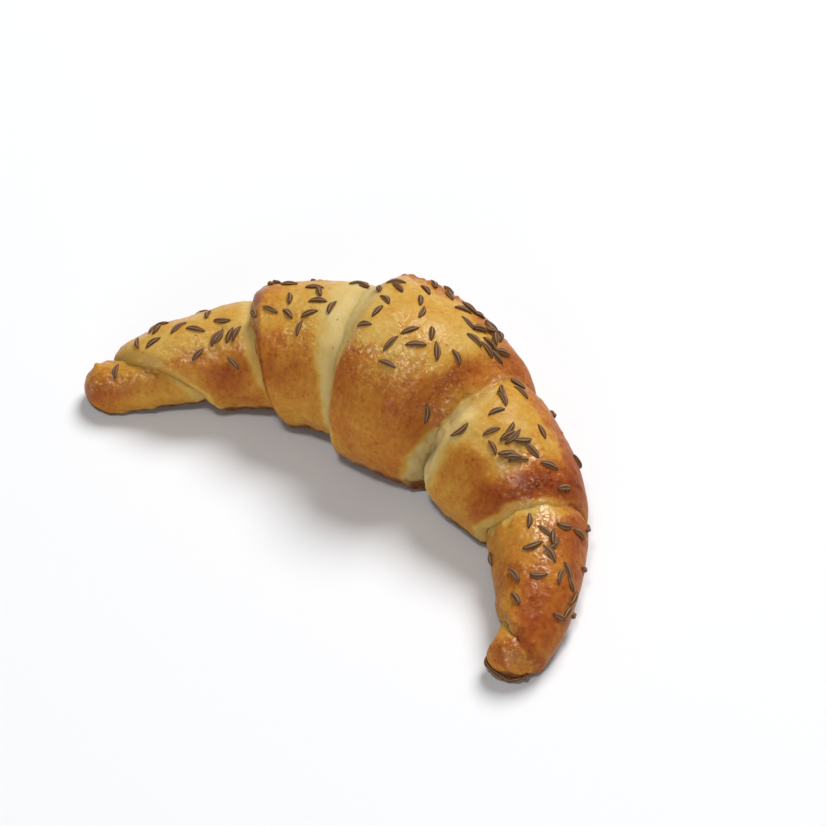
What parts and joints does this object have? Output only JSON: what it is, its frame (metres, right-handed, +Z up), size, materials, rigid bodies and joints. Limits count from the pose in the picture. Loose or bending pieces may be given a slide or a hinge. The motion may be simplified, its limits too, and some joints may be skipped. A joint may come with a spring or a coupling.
{
  "type": "crescent roll",
  "caption": "Crescent-shaped bread roll wound from a tapering strip of dough, with stepped spiral wraps, blunt horns, a flat base and seeds scattered on its crust.",
  "frame": {"origin": "middle of the box round the roll and its seeds, on the plane of the flat baked base", "axes": "+X along the span from the left horn to the right one, +Y to the outside of the bend, away from the horns, +Z up"},
  "size_m": [0.1532, 0.078, 0.0445],
  "materials": {
    "crust": "egg-washed baked crust: glossy golden brown, darker on the shoulders, pale in the creases",
    "seed": "dry ribbed caraway seed, matte dark brown"
  },
  "bodies": {
    "root": {"crescent_roll": "crust", "caraway_seed_01": "seed", "caraway_seed_02": "seed", "caraway_seed_03": "seed", "caraway_seed_04": "seed", "caraway_seed_05": "seed", "caraway_seed_06": "seed", "caraway_seed_07": "seed", "caraway_seed_08": "seed", "caraway_seed_09": "seed", "caraway_seed_10": "seed", "caraway_seed_11": "seed", "caraway_seed_12": "seed", "caraway_seed_13": "seed", "caraway_seed_14": "seed", "caraway_seed_15": "seed", "caraway_seed_16": "seed", "caraway_seed_17": "seed", "caraway_seed_18": "seed", "caraway_seed_19": "seed", "caraway_seed_20": "seed", "caraway_seed_21": "seed", "caraway_seed_22": "seed", "caraway_seed_23": "seed", "caraway_seed_24": "seed", "caraway_seed_25": "seed", "caraway_seed_26": "seed", "caraway_seed_27": "seed", "caraway_seed_28": "seed", "caraway_seed_29": "seed", "caraway_seed_30": "seed", "caraway_seed_31": "seed", "caraway_seed_32": "seed", "caraway_seed_33": "seed", "caraway_seed_34": "seed", "caraway_seed_35": "seed", "caraway_seed_36": "seed", "caraway_seed_37": "seed", "caraway_seed_38": "seed", "caraway_seed_39": "seed", "caraway_seed_40": "seed", "caraway_seed_41": "seed", "caraway_seed_42": "seed", "caraway_seed_43": "seed", "caraway_seed_44": "seed", "caraway_seed_45": "seed", "caraway_seed_46": "seed", "caraway_seed_47": "seed", "caraway_seed_48": "seed", "caraway_seed_49": "seed", "caraway_seed_50": "seed", "caraway_seed_51": "seed", "caraway_seed_52": "seed", "caraway_seed_53": "seed", "caraway_seed_54": "seed", "caraway_seed_55": "seed", "caraway_seed_56": "seed", "caraway_seed_57": "seed", "caraway_seed_58": "seed", "caraway_seed_59": "seed"}
  },
  "joints": []
}
